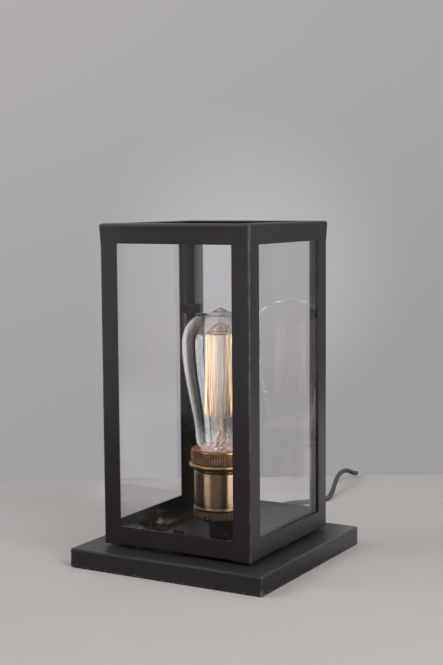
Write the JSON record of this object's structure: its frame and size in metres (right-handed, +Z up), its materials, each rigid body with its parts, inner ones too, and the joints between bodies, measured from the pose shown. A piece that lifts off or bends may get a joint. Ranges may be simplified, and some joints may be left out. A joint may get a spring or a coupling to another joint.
{
  "type": "lantern table lamp",
  "caption": "Table lamp: an open-topped black steel lantern with clear glass panes on a square plinth, holding a squirrel-cage filament bulb in a brass screw holder.",
  "frame": {"origin": "centre of the underside of the square plinth, on the table", "axes": "+Z up; -Y is the lamp's front; the cord leaves at the back, +Y; +X is the lamp's right side seen from the front"},
  "size_m": [0.178, 0.6303, 0.281],
  "materials": {
    "black_steel": "satin black paint with faint wear",
    "plinth_steel": "satin black paint",
    "felt": "pressed brown felt",
    "board": "raw fibreboard",
    "zinc_screw": "zinc-plated, lightly tarnished",
    "dark_screw": "blackened steel",
    "rubber": "matte black rubber",
    "pane_glass": "clear flat glass with faint green edges",
    "antique_brass": "satin antique brass",
    "dark_brass": "darkened knurled brass",
    "bronzed_neck": "dark bronze lacquer",
    "bright_brass": "bright brass",
    "porcelain": "glazed white porcelain",
    "wire_black": "black wire sleeve",
    "wire_white": "white wire sleeve",
    "solder": "dull solder",
    "black_glass": "black vitreous insulation",
    "bulb_glass": "clear thin glass",
    "stem_glass": "pressed clear glass",
    "filament": "unlit carbon filament, warm sheen",
    "support_wire": "dark drawn wire",
    "cord_sleeve": "smooth dark grey vinyl",
    "switch_plastic": "fine-textured black plastic",
    "rocker_plastic": "pale grey plastic",
    "blade_brass": "plain stamped brass"
  },
  "bodies": {
    "lamp": {"felt_pad": "felt", "base_board": "board", "board_screws": "zinc_screw", "base_shell": "plinth_steel", "frame_spacers": "rubber", "frame_nuts": "zinc_screw", "post_front_left": "black_steel", "post_front_right": "black_steel", "post_back_right": "black_steel", "post_back_left": "black_steel", "rail_front": "black_steel", "rail_right": "black_steel", "rail_back": "black_steel", "rail_left": "black_steel", "top_frame": "black_steel", "pane_front": "pane_glass", "pane_right": "pane_glass", "pane_back": "pane_glass", "pane_left": "pane_glass", "rail_clips": "dark_screw", "rail_washers": "zinc_screw", "rail_screws": "zinc_screw", "corner_clips": "dark_screw", "corner_screws": "dark_screw", "nipple": "zinc_screw", "nipple_nut": "bright_brass", "nipple_washer": "zinc_screw", "holder_neck": "bronzed_neck", "lower_ring": "dark_brass", "holder_shell": "antique_brass", "shade_ring": "dark_brass", "holder_core": "porcelain", "screw_shell": "bright_brass", "centre_contact": "bright_brass", "terminal_screws": "zinc_screw", "wire_live": "wire_black", "wire_neutral": "wire_white", "strain_relief": "rubber", "cord": "cord_sleeve", "cord_coil": "cord_sleeve", "coil_tie": "rubber", "switch_lower": "switch_plastic", "switch_upper": "switch_plastic", "switch_screws": "zinc_screw", "plug_body": "switch_plastic", "plug_blades": "blade_brass"},
    "bulb_tip_contact": {"bulb_contact": "solder"},
    "bulb": {"bulb_insulator": "black_glass", "bulb_cap": "bright_brass", "bulb_glass": "bulb_glass", "bulb_stem": "stem_glass", "filament": "filament", "filament_supports": "support_wire"},
    "rocker": {"switch_rocker": "rocker_plastic"}
  },
  "joints": [
    {"name": "bulb_lift", "type": "slide", "parent": "lamp", "child": "bulb_tip_contact", "axis": [0, 0, 1], "range_m": [0, 0.02177]},
    {"name": "bulb_turn", "type": "hinge", "parent": "bulb_tip_contact", "child": "bulb", "pos_m": [0.003, 0.002, 0.07], "axis": [0, 0, 1], "range_deg": [0, 2160]},
    {"name": "rocker_tilt", "type": "hinge", "parent": "lamp", "child": "rocker", "pos_m": [-0.03, 0.424, 0.0136], "axis": [-1, 0, 0], "range_deg": [0, 16]}
  ],
  "couplings": [
    {"joint": "bulb_lift", "follows": "bulb_turn", "m_per_rad": 0.00057757}
  ]
}
